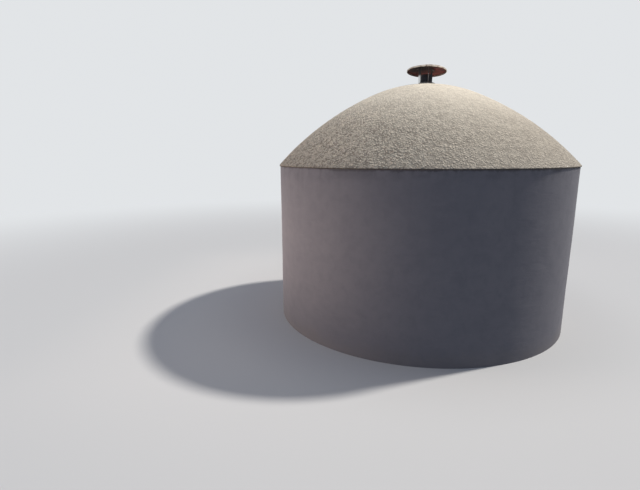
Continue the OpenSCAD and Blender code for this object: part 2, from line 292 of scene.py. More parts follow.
def beside_door(v):
    return abs(v.co.x) < door_half + hair and v.co.y < 0


door_arris = [e for e in wall.edges if e.calc_face_angle(0) > radians(40) and all(
    beside_door(v) and v.co.z < soffit_z + hair for v in e.verts)
    and max(v.co.z for v in e.verts) > hair]
round_off(wall, door_arris, radius=0.014, segments=4)
wall.normal_update()
for v in wall.verts:
    if hair < v.co.z < wall_h - hair and not beside_door(v):
        v.co += v.normal * uneven(v.co, (0.0022, 1.5), (0.0010, 5.5), (0.0004, 17.0))

plaster = Finish("grey painted plaster")
up = plaster.along(2)
patches = plaster.cloud(1.1, 4.0, 0.6, 0.4)
mottle = plaster.cloud(11.0, 5.0, 0.62, 0.3)
strokes = plaster.cloud(6.0, 4.0, 0.6, 0.5, plaster.placed((1.0, 1.0, 3.5)))
runs = plaster.cloud(9.0, 4.0, 0.6, 0.2, plaster.placed((1.0, 1.0, 0.07)))
ragged = plaster.cloud(6.0, 5.0, 0.7, 0.3)
plaster_sand = plaster.cloud(380.0, 2.0)
under_eave = plaster.between(up, wall_h - 0.45, wall_h) * plaster.between(runs, 0.5, 0.68)
# Darker in patches along the top of the wall, under the eave.
darker_patches_at_wall_top = (plaster.between(up + ragged * 0.10, wall_h - 0.08, wall_h + 0.03)
           * plaster.between(patches + mottle * 0.5, 0.66, 0.90))
# A ragged near-black band at the very top of the wall, under the eave lip, is painted shadow of the
# lip.
under_lip_painted_shadow = plaster.between(up + mottle * 0.06 + patches * 0.03, wall_h + 0.028, wall_h + 0.042)
splash = 1.0 - plaster.between(up + ragged * 0.30, 0.12, 0.34)
plaster.surface(
    Base_Color=plaster.layers(
        plaster.blend(
            plaster.between(patches, 0.3, 0.7), (0.208, 0.202, 0.226), (0.234, 0.225, 0.246)),
        (plaster.between(mottle, 0.38, 0.72) * 0.38, (0.186, 0.181, 0.205)),
        (plaster.between(strokes, 0.5, 0.75) * 0.28, (0.256, 0.246, 0.262)),
        (under_eave * 0.26, (0.150, 0.145, 0.160)),
        (darker_patches_at_wall_top * 0.45, (0.120, 0.116, 0.134)),
        (under_lip_painted_shadow * 0.55, (0.070, 0.064, 0.066)),
        (splash * 0.35, (0.250, 0.222, 0.205))),
    Roughness=0.74 + 0.16 * mottle,
    Normal=plaster.relief(strokes * 0.8 + mottle * 0.5 + plaster_sand * 0.16, 0.0020))
piece(wall, "plastered_wall", plaster,
      [f"wall_segment_{i}" for i in range(1, 9)] + ["lintel", "wall_over_door"])


# The roof is a thin cement dome cast in place on the wall. Its outside is a coarse coat of sand and
# cement thrown on with a brush and left as it fell, worn smoother by the rain towards the crown.
# The hollows between its lumps are painted dark as painted shade, most towards the thin eave lip,
# and the dome's colour is painted darker towards the eave and paler towards the crown as painted
# shade and light.

eave_r, eave_top = 1.508, 1.61
crown_z, crown_r, crown_slope = 2.422, 1.365, radians(24)
shell = 0.08
flue_x, flue_r = -0.032, 0.060
crown_piece_r = 0.3
bays, bay_steps = 8, 128
coat_gap, ceiling_gap = 0.0076, 0.07
crown_rings, crown_ceiling_rings = 34, 8

crown_centre = (0.0, crown_z - crown_r)
turn_r = crown_r * sin(crown_slope)
turn_z = crown_centre[1] + crown_r * cos(crown_slope)
eave_slope = 2 * atan2(turn_z - eave_top, eave_r - turn_r) - crown_slope
flank_r = (eave_r - turn_r) / (sin(eave_slope) - sin(crown_slope))
flank_centre = (turn_r - flank_r * sin(crown_slope), turn_z - flank_r * cos(crown_slope))
join_slope = asin(crown_piece_r / crown_r)
foot_slope = asin((wall_in_r - flank_centre[0]) / (flank_r - shell))


def slope_at(r):
    return asin(r / crown_r) if r < turn_r else asin(min(1.0, (r - flank_centre[0]) / flank_r))


def arc(centre, radius, first, last, gap):
    count = max(2, round(abs(last - first) * radius / gap))
    slopes = [first + (last - first) * k / count for k in range(count + 1)]
    return [(centre[0] + radius * sin(a), centre[1] + radius * cos(a)) for a in slopes]


def dome_normal(p):
    r = hypot(p.x, p.y)
    a = slope_at(r)
    return Vector((p.x / r * sin(a), p.y / r * sin(a), cos(a)))


lump_rate, lump_fall = 60.0, 1.65
worn_from_z, worn_over, least_left = 2.42, 0.5, 0.35


def thrown(p):
    """Height of the coat over the shell: slow waves, then lumps, which are worn at the crown."""
    blob = max(0.0, 1.0 - lump_fall * noise.voronoi(p * lump_rate)[0][0])
    load = 0.7 + 0.5 * noise.noise(p * 3.1)
    left = min(1.0, max(least_left, (worn_from_z - p.z) / worn_over))
    return uneven(p, (0.0030, 1.6)) + left * (uneven(p, (0.0015, 21.0)) + 0.0017 * load * blob)


def throw_on(bm, weight):
    """Throws the coat on the outside of a bay or of the crown, less towards the eave lip."""
    for v in bm.verts:
        if v[weight] > 0:
            v.co += dome_normal(v.co) * thrown(v.co) * v[weight]
    bm.verts.layers.float.remove(weight)


def sweep(bm, line, angle, steps, closed=True):
    """Sweeps a line of points round the Z axis."""
    ends = line[1:] + line[:1] if closed else line[1:]
    edges = [bm.edges.new(pair) for pair in zip(line, ends)]
    bmesh.ops.spin(bm, geom=line + edges, cent=(0, 0, 0), axis=(0, 0, 1), angle=angle,
                   steps=steps, use_merge=angle == 2 * pi)


# Each point of a bay's section comes with its share of the coat.
bay_section = [(p, 1.0) for p in arc(crown_centre, crown_r, join_slope, crown_slope, coat_gap)]
bay_section += [
    (p, 1.0) for p in arc(flank_centre, flank_r, crown_slope, eave_slope, coat_gap)[1:-1]]
bay_section += [((eave_r - 0.0012, eave_top + 0.0006), 0.6), ((eave_r, eave_top - 0.0012), 0.45)]
bay_section += [((eave_r, wall_h + 0.0035), 0.4), ((eave_r - 0.0015, wall_h + 0.0006), 0.3)]
bay_section += [((eave_r - 0.005, wall_h), 0.0), ((wall_in_r, wall_h), 0.0)]
bay_section += [
    (p, 0.0) for p in arc(flank_centre, flank_r - shell, foot_slope, crown_slope, ceiling_gap)]
bay_section += [
    (p, 0.0) for p in arc(crown_centre, crown_r - shell, crown_slope, join_slope, ceiling_gap)[1:]]


def bay_shell(number):
    start = -pi / 2 - pi / bays + (number - 1) * 2 * pi / bays
    bm = bmesh.new()
    weight = bm.verts.layers.float.new("coat")
    line = []
    for (r, z), share in bay_section:
        v = bm.verts.new((r * cos(start), r * sin(start), z))
        v[weight] = share
        line.append(v)
    sweep(bm, line, 2 * pi / bays, bay_steps)
    bmesh.ops.holes_fill(bm, edges=[e for e in bm.edges if e.is_boundary], sides=0)
    throw_on(bm, weight)
    return bm


def crown_shell():
    """The crown is bored off centre for the flue, so its rings slide across to the bore."""
    bm = bmesh.new()
    weight = bm.verts.layers.float.new("coat")
    bore = flue_r + 0.0002
    line = []
    for under, rings in ((False, crown_rings), (True, crown_ceiling_rings)):
        for k in range(rings + 1):
            share = 1 - k / rings if under else k / rings
            v = bm.verts.new((bore + (crown_piece_r - bore) * share, 0, -1.0 if under else 0.0))
            v[weight] = 0.0 if under else 1.0
            line.append(v)
    sweep(bm, line, 2 * pi, bays * bay_steps)
    for v in bm.verts:
        under = v.co.z < -0.5
        share = (hypot(v.co.x, v.co.y) - bore) / (crown_piece_r - bore)
        v.co.x += flue_x * (1 - share)
        r = hypot(v.co.x, v.co.y)
        v.co.z = crown_centre[1] + sqrt(crown_r ** 2 - r ** 2)
        if under:
            out = Vector((v.co.x / crown_r, v.co.y / crown_r, sqrt(1 - (r / crown_r) ** 2)))
            v.co -= shell * out
    throw_on(bm, weight)
    return bm


cement = Finish("thrown cement")
height = cement.along(2)
weather = cement.cloud(1.4, 5.0, 0.62, 0.6)
tide = cement.cloud(4.5, 5.0, 0.65, 0.4)
loads = cement.cloud(13.0, 4.0, 0.62, 0.5)
clumps = cement.cloud(26.0, 3.0, 0.6)
dust = cement.cloud(300.0, 4.0, 0.65)
thrown_place = cement.stirred(42.0, 0.013)


def pellets(scale, shift):
    """Separate round pellets of cement, each of its own size, and the lot drawn for each."""
    place = cement.placed(shift=shift, source=thrown_place)
    lot = cement.lots(scale, place)
    reach = cement.cells(scale, place) / (0.30 + 0.40 * lot)
    return 1.0 - cement.between(reach, 0.15, 1.0), lot


blobs, blob_lot = pellets(44.0, (0.0, 0.0, 0.0))
strays = pellets(72.0, (0.31, 0.17, 0.43))[0]
grit, grit_lot = pellets(160.0, (0.73, 0.29, 0.11))
coat = cement.greater(blobs, strays * 0.8)
# One share, 1 low on the dome and 0 towards the crown, makes the coat coarser low down and also
# paints the dome darker towards the eave and paler towards the crown: painted shade and painted
# light.
coarse_z, smooth_z = 1.80, 2.36
coarse_and_painted_shade_low = 1.0 - cement.between(height, coarse_z, smooth_z)
# The hollows between the lumps are painted dark as painted shade; on the +X side they are painted
# darker still, as painted shade of the relief, and the relief is deeper.
side_with_painted_relief_shade = cement.between(cement.along(0), -0.2, 0.9) * (0.30 + 0.70 * coarse_and_painted_shade_low)
hollows_painted_shade = ((1.0 - cement.between(coat + grit * 0.25 + dust * 0.20, 0.10, 0.42))
        * cement.between(clumps, 0.34, 0.58))
# Darker towards the eave.
darker_towards_eave = 1.0 - cement.between(height + tide * 0.16, eave_top + 0.05, eave_top + 0.29)
# The lower face of the eave lip is painted near black: painted shade, the dark line under the eave.
lip_face_painted_shade = 1.0 - cement.between(height + tide * 0.003, eave_top - 0.0035, eave_top + 0.0005)
lumps = coat + clumps * 0.5 + grit * 0.25 + dust * 0.30
cement.surface(
    Base_Color=cement.layers(
        cement.blend(
            cement.between(weather, 0.32, 0.68), (0.705, 0.634, 0.520), (0.745, 0.675, 0.555)),
        (coarse_and_painted_shade_low * (0.50 - side_with_painted_relief_shade * 0.20), (0.500, 0.440, 0.354)),
        (cement.between(tide, 0.50, 0.74) * (0.22 + 0.24 * coarse_and_painted_shade_low), (0.515, 0.456, 0.375)),
        (cement.between(loads, 0.46, 0.66) * (0.20 + 0.22 * coarse_and_painted_shade_low), (0.470, 0.412, 0.336)),
        (cement.between(blob_lot, 0.40, 1.0) * blobs * (0.26 + 0.14 * coarse_and_painted_shade_low),
         (0.430, 0.370, 0.296)),
        (cement.between(grit_lot, 0.50, 1.0) * (0.15 + 0.21 * coarse_and_painted_shade_low), (0.345, 0.300, 0.245)),
        (hollows_painted_shade * (0.26 + 0.31 * coarse_and_painted_shade_low + 0.33 * side_with_painted_relief_shade), (0.195, 0.166, 0.135)),
        (darker_towards_eave * 0.18, (0.360, 0.326, 0.280)),
        (lip_face_painted_shade * 0.85, (0.085, 0.070, 0.060))),
    Roughness=0.86 + 0.10 * dust,
    Specular_IOR_Level=0.25,
    Normal=cement.relief(lumps * (0.38 + 0.56 * coarse_and_painted_shade_low + 0.46 * side_with_painted_relief_shade), 0.0061))

shells = {f"cement_bay_{i}": (bay_shell(i), f"roof_bay_{i}") for i in range(1, bays + 1)}
shells["cement_crown"] = (crown_shell(), "roof_crown")


def on_coat(normal, centre):
    return normal.dot(dome_normal(centre)) > 0.25


def spot(co):
    """One key for all the points that lie within a twentieth of a millimetre."""
    return (round(co.x * 20000), round(co.y * 20000), round(co.z * 20000))


# The coat runs on over the joints, so the bays share one leaning at each point of their edges.
leanings = {}
for bm, _ in shells.values():
    bmesh.ops.recalc_face_normals(bm, faces=bm.faces)
    for face in bm.faces:
        if on_coat(face.normal, face.calc_center_median()):
            for v in face.verts:
                key = spot(v.co)
                leanings[key] = leanings.get(key, Vector()) + face.normal * face.calc_area()

for name, (bm, node) in shells.items():
    bay = piece(bm, name, cement, [node], crease=180)
    corner_normals = []
    for face in bay.data.polygons:
        coated = on_coat(face.normal, face.center)
        for index in face.vertices:
            lean = leanings.get(spot(bay.data.vertices[index].co)) if coated else None
            corner_normals.append(lean.normalized() if lean else face.normal)
    bay.data.normals_split_custom_set(corner_normals)


# The foot of the flue is bedded in a collar of rough mortar, pushed up round the pipe by hand
# and left with the marks of the fingers and the trowel.

flue_axis = Matrix.Translation((flue_x, 0, 0))


def turned(profile, steps, closed=False):
    """Turns a profile of (radius, height) points round the Z axis."""
    bm = bmesh.new()
    line = [bm.verts.new((r, 0, z)) for r, z in profile]
    sweep(bm, line, 2 * pi, steps, closed)
    bmesh.ops.remove_doubles(bm, verts=bm.verts, dist=1e-6)
    bmesh.ops.recalc_face_normals(bm, faces=bm.faces)
    return bm


haunch_top = crown_z + 0.022
haunch_flank = [
    (0.075, 0.018), (0.082, 0.0135), (0.089, 0.0095), (0.096, 0.006), (0.103, 0.003),
    (0.110, -0.001), (0.116, -0.006), (0.121, -0.014), (0.121, -0.030)]
collar = turned(
    [(flue_r + 0.0003, crown_z - 0.030), (flue_r + 0.0003, haunch_top - 0.002),
     (0.064, haunch_top), (0.069, haunch_top - 0.001)]
    + [(r, crown_z + rise) for r, rise in haunch_flank], steps=144, closed=True)
bmesh.ops.transform(collar, matrix=flue_axis, verts=collar.verts)
collar.normal_update()
for v in collar.verts:
    out = hypot(v.co.x - flue_x, v.co.y) - flue_r
    if out > 0.0025 and v.co.z > crown_z - 0.02:
        v.co += v.normal * uneven(v.co, (0.0042, 24.0), (0.0020, 75.0)) * min(1.0, out / 0.012)

mortar = Finish("hand laid mortar")
mortar_cloud = mortar.cloud(26.0, 5.0, 0.65, 0.3)
mortar_sand = mortar.cells(260.0)
near_pipe = 1.0 - mortar.between(mortar.off(flue_x, 0) + mortar_cloud * 0.03, 0.070, 0.105)
mortar.surface(
    Base_Color=mortar.layers(
        mortar.blend(
            mortar.between(mortar_cloud, 0.3, 0.7), (0.43, 0.390, 0.325), (0.58, 0.530, 0.445)),
        (near_pipe * 0.35, (0.085, 0.075, 0.068))),
    Roughness=0.88,
    Normal=mortar.relief(mortar_cloud + (1.0 - mortar_sand) * 0.25, 0.0030))
piece(collar, "mortar_collar", mortar, ["flue_haunching"], crease=60)


# The flue is a length of rolled steel tube, sooted black by the hearth. It is lapped along one
# side and riveted, and the cut rim at its top is rusting.

def put(bm, part, places):
    """Sets a copy of a small part at each of its places."""
    mesh = bpy.data.meshes.new("part")
    for place in places:
        one = part.copy()
        bmesh.ops.transform(one, matrix=place, verts=one.verts)
        one.to_mesh(mesh)
        bm.from_mesh(mesh)
        one.free()
    bpy.data.meshes.remove(mesh)


def widen(v, factor):
    """Moves a point out from the Z axis."""
    v.co.x *= factor
    v.co.y *= factor


flue_top = 2.522
flue_foot = crown_z - shell - 0.060
tube_in = flue_r - 0.003
rim_round = 0.001
tube = turned(
    [(tube_in, flue_foot), (tube_in, flue_top - rim_round), (tube_in + rim_round, flue_top),
     (flue_r - rim_round, flue_top), (flue_r, flue_top - rim_round)]
    + [(flue_r, flue_top - rim_round - 0.0239 * k) for k in range(1, 10)]
    + [(flue_r, flue_foot)], steps=96, closed=True)
for v in tube.verts:
    turn = atan2(v.co.y, v.co.x)
    dent = 0.0007 * noise.noise(Vector((cos(turn) * 1.3, sin(turn) * 1.3, v.co.z * 9.0)))
    if v.co.z > haunch_top + 0.004:
        widen(v, 1 + dent / hypot(v.co.x, v.co.y))

lap_side = Matrix.Rotation(radians(205), 4, "Z")
lap_t, lap_w, lap_h = 0.0016, 0.020, flue_top - 0.004 - haunch_top + 0.006
lap_mid = (flue_top + haunch_top) / 2 - 0.005
lap = bmesh.new()
bmesh.ops.create_cube(lap, size=1.0)
bmesh.ops.scale(lap, vec=(lap_t, lap_w, lap_h), verts=lap.verts)
round_off(lap, lap.edges[:], radius=0.0005, segments=2)
put(tube, lap, [lap_side @ Matrix.Translation((flue_r + 0.0002, 0, lap_mid))])
rivet = turned(
    [(0, 0.0022), (0.0018, 0.0020), (0.0034, 0.0012), (0.0042, 0), (0.0042, -0.001)], steps=12)
put(tube, rivet, [
    lap_side @ Matrix.Translation((flue_r + 0.0010, 0, haunch_top + rise))
    @ Matrix.Rotation(pi / 2, 4, "Y") for rise in (0.012, 0.037, 0.062)])
bmesh.ops.transform(tube, matrix=flue_axis, verts=tube.verts)

soot = Finish("sooted steel")
soot_cloud = soot.cloud(34.0, 5.0, 0.62, 0.4)
rust_cloud = soot.cloud(15.0, 5.0, 0.68, 0.8)
rim_rust = soot.between(soot.along(2) + rust_cloud * 0.02, flue_top - 0.002, flue_top + 0.010)
rusted = soot.between(rust_cloud, 0.56, 0.68)
soot.surface(
    Base_Color=soot.layers(
        soot.blend(
            soot.between(soot_cloud, 0.3, 0.75), (0.013, 0.014, 0.019), (0.034, 0.035, 0.044)),
        (rusted * 0.5 + rim_rust * 0.5, (0.125, 0.055, 0.030))),
    Roughness=0.66 + 0.22 * rusted,
    Metallic=0.15 - 0.12 * rusted,
    Specular_IOR_Level=0.3,
    Normal=soot.relief(soot_cloud + rust_cloud * 0.5, 0.0006))
piece(tube, "flue_tube", soot, ["flue_pipe"])


# Three flat galvanised straps stand on edge against the pipe and carry the cowl. Each is welded
# down both sides of its foot, and a tab across its top is riveted to the cone above.

def away_from_flue(finish):
    """How far the surface looks away from the flue: 1 straight out, -1 straight back at it."""
    outwards = finish.node("ShaderNodeVectorMath", {"operation": "NORMALIZE"}, {
        0: finish.placed(stretch=(1, 1, 0), shift=(-flue_x, 0, 0))})
    return finish.node("ShaderNodeVectorMath", {"operation": "DOT_PRODUCT"}, {
        0: outwards, 1: finish.looking()}, out="Value")


def rise_of(edge):
    return abs(edge.verts[0].co.z - edge.verts[1].co.z)


zinc = Finish("weathered zinc")
spangle = zinc.cells(170.0)
zinc_cloud = zinc.cloud(40.0, 4.0, 0.6)
# The outward edges of the straps are painted dark brown and made dull: painted shade.
outer_edge_painted_shade = zinc.between(away_from_flue(zinc), 0.5, 0.9)
# Above the top of the flue, inside the cowl, the straps are painted near black: soot, and painted
# shade of the cowl.
soot_and_painted_cowl_shade = zinc.between(zinc.along(2) + zinc_cloud * 0.02, flue_top + 0.002, flue_top + 0.020)
dulled = zinc.greater(soot_and_painted_cowl_shade, outer_edge_painted_shade)
zinc.surface(
    Base_Color=zinc.layers(
        zinc.blend(zinc.between(spangle, 0.1, 0.7), (0.90, 0.90, 0.89), (0.80, 0.80, 0.795)),
        (zinc.between(zinc_cloud, 0.62, 0.76) * 0.6, (0.33, 0.25, 0.19)),
        (outer_edge_painted_shade * 0.85, (0.110, 0.070, 0.050)),
        (soot_and_painted_cowl_shade * 0.93, (0.040, 0.026, 0.026))),
    Roughness=0.24 + 0.2 * zinc_cloud + 0.40 * dulled,
    Metallic=0.92 - 0.85 * dulled,
    Normal=zinc.relief(zinc_cloud, 0.0003))
weld_metal = Finish("weld metal")
weld_cloud = weld_metal.cloud(160.0, 3.0)
weld_metal.surface(
    Base_Color=weld_metal.blend(weld_cloud, (0.10, 0.075, 0.060), (0.20, 0.155, 0.125)),
    Roughness=0.55 + 0.2 * weld_cloud,
    Metallic=0.4,
    Normal=weld_metal.relief(weld_cloud, 0.0004))

strap_foot = flue_top - 0.075
strap_mid = (flue_top + strap_foot) / 2
strap_turns = [Matrix.Rotation(radians(92 + 120 * i), 4, "Z") for i in range(3)]
weld_r, weld_l, ripples = 0.0024, flue_top - strap_foot, 22
weld = bmesh.new()
bmesh.ops.create_cone(
    weld, cap_ends=True, segments=8, radius1=weld_r, radius2=weld_r, depth=weld_l)
uprights = [e for e in weld.edges if rise_of(e) > 0.01]
bmesh.ops.subdivide_edges(weld, edges=uprights, cuts=3 * ripples - 1, use_grid_fill=True)
for v in weld.verts:
    widen(v, 1 + 0.16 * sin(v.co.z / weld_l * 2 * pi * ripples))
welds = bmesh.new()
for i, turn in enumerate(strap_turns, 1):
    arrised(f"cowl_strap_{i}", f"cowl_leg_{i}", zinc, radius=0.0006, segments=2)
    put(welds, weld, [
        flue_axis @ turn @ Matrix.Translation((flue_r + 0.0006, side * 0.0021, strap_mid))
        for side in (-1, 1)])
piece(welds, "strap_welds", weld_metal)


# The cowl is a shallow cone of sheet steel with a skirt and a rolled bead round its foot. It sits
# a little crooked on its straps, is dented and rusted all over, and is sooted black over the flue.

cowl_r, cowl_rise, cowl_skirt, sheet = 0.2, 0.048, 0.012, 0.0025
cowl_lean, cowl_tilt = radians(-3), radians(5.5)
rim_z = flue_top + 0.043
pitch = atan2(cowl_rise, cowl_r)
slant = sheet / cos(pitch)
cowl_place = (Matrix.Translation((flue_x, 0, rim_z))
              @ Matrix.Rotation(cowl_lean, 4, "Y") @ Matrix.Rotation(cowl_tilt, 4, "X"))
cone_rings, under_rings, cone_steps = 26, 12, 192
under_r = cowl_r - sheet
under_rise = cowl_rise * (1 - sheet / cowl_r)
over = [(cowl_r * k / cone_rings, cowl_rise * (1 - k / cone_rings)) for k in range(cone_rings)]
over += [(cowl_r - 0.0022, 0.0006), (cowl_r - 0.0006, -0.0006), (cowl_r, -0.0028)]
over += [(cowl_r, -0.0070), (cowl_r, -cowl_skirt)]
beneath = [(under_r, -cowl_skirt), (under_r, -0.0078), (under_r, -0.0040)]
beneath += [(under_r * k / under_rings, cowl_rise - slant - under_rise * k / under_rings)
            for k in range(under_rings, -1, -1)]
cone = turned(over + beneath, cone_steps)
for v in cone.verts:
    r = hypot(v.co.x, v.co.y)
    p = Vector((v.co.x, v.co.y, 0))
    dent = uneven(p, (0.0030, 9.0), (0.0012, 26.0)) * min(1.0, max(0.0, (r - 0.115) / 0.05))
    v.co.z += dent - 0.0005 * abs(noise.noise(p * 14.0))
    if r > cowl_r - 0.01:
        push = 0.0010 * noise.noise(Vector((v.co.x * 12, v.co.y * 12, v.co.z * 20)))
        widen(v, 1 + push / r)
bmesh.ops.transform(cone, matrix=cowl_place, verts=cone.verts)

rust = Finish("rusted sheet")
scale_cloud = rust.cloud(13.0, 6.0, 0.68, 0.7)
fine_rust = rust.cloud(70.0, 5.0, 0.7, 0.3)
pitting = rust.cells(240.0)
outside = rust.between(rust.along(2, rust.looking()), -0.55, -0.25)
skirt = 1.0 - rust.between(rust.placed_height(cowl_place), -0.004, 0.004)
bare = rust.between(fine_rust * 0.5 + scale_cloud * 0.5 + skirt * 0.20, 0.58, 0.68) * outside
out_tone = rust.layers(
    rust.blend(
        rust.between(scale_cloud, 0.32, 0.66), (0.155, 0.070, 0.050), (0.255, 0.120, 0.082)),
    (rust.between(fine_rust, 0.50, 0.72) * 0.7, (0.105, 0.052, 0.043)),
    (bare * 0.85, (0.52, 0.475, 0.41)))
sooted_x, sooted_y = flue_x + 0.050, -0.010
sooted = 1.0 - rust.between(rust.off(sooted_x, sooted_y) + scale_cloud * 0.06, 0.120, 0.210)
# The underside of the cone is painted darker than its outside as painted shade under the cowl, with
# real soot over the flue laid on as well.
underside_with_painted_shade = rust.layers(
    rust.blend(
        rust.between(scale_cloud, 0.34, 0.66), (0.060, 0.021, 0.023), (0.225, 0.054, 0.048)),
    (rust.between(fine_rust, 0.50, 0.72) * 0.6, (0.026, 0.015, 0.016)),
    (sooted * 0.84, (0.016, 0.014, 0.018)))
rust.surface(
    Base_Color=rust.blend(outside, underside_with_painted_shade, out_tone),
    Roughness=0.80 + 0.15 * fine_rust - 0.28 * bare,
    Metallic=0.80 * bare,
    Normal=rust.relief(scale_cloud * 0.8 + fine_rust * 0.5 + (1.0 - pitting) * 0.2, 0.0011))
piece(cone, "cowl_cone", rust, ["cowl"], crease=55)

worn = Finish("rubbed bead, painted shade inside")
rubbed = worn.cloud(36.0, 4.0, 0.6)
bead_rust = worn.between(rubbed, 0.48, 0.66)
bead_tone = worn.blend(bead_rust, (0.64, 0.60, 0.53), (0.30, 0.200, 0.150))
bead_outside = worn.between(away_from_flue(worn), -0.35, 0.15)
worn.surface(
    # The bead's side that looks in towards the flue is painted dark rust brown, darkened as painted
    # shade under the cowl.
    Base_Color=worn.blend(bead_outside, (0.120, 0.052, 0.042), bead_tone),
    Roughness=0.58 + 0.20 * bead_rust,
    Metallic=(0.80 - 0.65 * bead_rust) * bead_outside,
    Normal=worn.relief(rubbed, 0.0004))
bead_r, bead_sides = 0.004, 14
bead_turns = [2 * pi * k / bead_sides for k in range(bead_sides)]
bead = turned([(cowl_r - sheet / 2 + bead_r * cos(a), -cowl_skirt + bead_r * sin(a))
               for a in bead_turns], cone_steps, closed=True)
for v in bead.verts:
    v.co.z += 0.0006 * noise.noise(Vector((v.co.x * 16, v.co.y * 16, 0)))
bmesh.ops.transform(bead, matrix=cowl_place, verts=bead.verts)
piece(bead, "cowl_bead", worn, ["cowl"])

rivet_out = flue_r + 0.036
on_cone = (Matrix.Translation((rivet_out, 0, cowl_rise * (1 - rivet_out / cowl_r)))
           @ Matrix.Rotation(pitch, 4, "Y"))
head = turned(
    [(0, 0.0030), (0.0025, 0.0028), (0.0047, 0.0018), (0.0060, 0.0002), (0.0062, -0.0030)],
    steps=16)
rivets = bmesh.new()
put(rivets, head, [cowl_place @ turn @ on_cone for turn in strap_turns])
piece(rivets, "cowl_rivets", rust)


# The door frame is two jambs and a head of planed softwood, rebated for the door and set back a
# little from the face of the wall. It has been oiled once and has weathered grey brown since.

def timber(name, grain, pale, brown, board_width=None, rise=0.0):
    """Weathered wood with its grain along one direction, darker in the open grain and at checks."""
    wood = Finish(name)
    ground = wood.placed(grain, source=wood.placed(turn=(0, rise, 0)))
    if board_width:
        number = wood.node("ShaderNodeMath", {"operation": "FLOOR"}, {
            0: (wood.along(0) + 3 * board_width) / board_width})
        lot = wood.node("ShaderNodeTexWhiteNoise", {"noise_dimensions": "1D"}, {"W": number})
        shift = wood.node("ShaderNodeCombineXYZ", None, {0: lot * 7.0, 1: lot * 3.0, 2: lot * 5.0})
        ground = wood.node("ShaderNodeVectorMath", {"operation": "ADD"}, {0: ground, 1: shift})
    figure = wood.cloud(16.0, 3.0, 0.55, 1.4, ground)
    fibres = wood.cloud(150.0, 4.0, 0.7, 0.2, ground)
    weathering = wood.cloud(3.5, 4.0, 0.6, 0.4)
    tone = wood.blend(wood.between(figure, 0.34, 0.66), pale, brown)
    tone = wood.blend(
        wood.between(fibres, 0.50, 0.74) * 0.55, tone, tuple(c * 0.42 for c in brown))
    if board_width:
        tone = wood.blend(lot * 0.35, tone, tuple(c * 0.62 for c in brown))
    low = 1.0 - wood.between(wood.along(2) + weathering * 0.12, 0.10, 0.30)
    wood.surface(
        Base_Color=wood.layers(
            tone,
            (wood.between(weathering, 0.42, 0.72) * 0.40, (0.205, 0.190, 0.170)),
            (low * 0.45, (0.235, 0.200, 0.160))),
        Roughness=0.66 + 0.22 * fibres,
        Normal=wood.relief(figure * 0.35 + fibres * 0.65, 0.0011))
    return wood


standing = (1.0, 1.0, 0.045)
lying = (0.045, 1.0, 1.0)
frame_pale, frame_brown = (0.205, 0.142, 0.092), (0.120, 0.078, 0.049)
jamb_timber = timber("frame timber, upright", standing, frame_pale, frame_brown)
head_timber = timber("frame timber, level", lying, frame_pale, frame_brown)
arrised("frame_jamb_left", "jamb_left", jamb_timber, radius=0.0022)
arrised("frame_jamb_right", "jamb_right", jamb_timber, radius=0.0022)
arrised("frame_head", "head", head_timber, radius=0.0022)


# The door is six upright boards with a V joint between each two, nailed to three ledges and two
# braces on the inside. The boards have shrunk and cupped a little, each by its own amount.

leaf_half, leaf_foot, leaf_top = 0.344, 0.056, 1.414
board_front, board_t, board_count = -1.42607, 0.022, 6
board_w = 2 * leaf_half / board_count
leaf_h, leaf_mid = leaf_top - leaf_foot, (leaf_top + leaf_foot) / 2
shrunk, vee_r, end_r = 0.0008, 0.0034, 0.0009


def board_x(number):
    return -leaf_half + (number + 0.5) * board_w


board_timber = timber(
    "door boards", standing, (0.255, 0.178, 0.115), (0.155, 0.102, 0.064), board_w)
boards = bmesh.new()
for i in range(board_count):
    board = bmesh.new()
    bmesh.ops.create_cube(board, size=1.0)
    bmesh.ops.scale(board, vec=(board_w - shrunk, board_t, leaf_h), verts=board.verts)
    vee = [e for e in board.edges if rise_of(e) > 1 and all(v.co.y < 0 for v in e.verts)]
    round_off(board, vee, vee_r, segments=2)
    ends = [e for e in board.edges if rise_of(e) < 1e-6]
    round_off(board, ends, end_r, segments=2)
    long_edges = [e for e in board.edges if rise_of(e) > 1]
    bmesh.ops.subdivide_edges(board, edges=long_edges, cuts=28, use_grid_fill=True)
    wide = [e for e in board.edges if abs(e.verts[0].co.x - e.verts[1].co.x) > board_w * 0.8]
    bmesh.ops.subdivide_edges(board, edges=wide, cuts=5, use_grid_fill=True)
    back = 0.0012 * abs(noise.noise(Vector((i * 3.7, 0.5, 0.5))))
    for v in board.verts:
        cup = 0.0009 * (1 - (2 * v.co.x / board_w) ** 2) * (1 if i % 2 else -0.6)
        bow = 0.0008 * noise.noise(Vector((i * 5.1, 0.2, v.co.z * 1.7)))
        if v.co.y < -board_t / 4:
            v.co.y += back + 0.0009 - cup + bow
        if v.co.z < -0.6:
            v.co.z += 0.0025 * abs(noise.noise(Vector((i * 2.3, v.co.x * 30, 0.7))))
    put(boards, board, [Matrix.Translation((board_x(i), board_front + board_t / 2, leaf_mid))])
    board.free()
piece(boards, "door_planks", board_timber, ["door_boards"])

ledge_pale, ledge_brown = (0.245, 0.172, 0.112), (0.150, 0.100, 0.063)
level_timber = timber("ledge timber", lying, ledge_pale, ledge_brown)
for name in ("top", "middle", "bottom"):
    arrised(f"{name}_ledge", f"ledge_{name}", level_timber, radius=0.0020)
brace_rise, brace_run = 0.364, 0.526
brace_timber = timber(
    "brace timber", lying, ledge_pale, ledge_brown, rise=atan2(brace_rise, brace_run))
for name in ("upper", "lower"):
    arrised(f"{name}_brace", f"brace_{name}", brace_timber, radius=0.0020)


# The ironwork is black japanned and rusting where it is handled: two T hinges on coach bolts, a
# padbolt with its keep, and a round pull. Screws and nails are of plain steel gone brown.

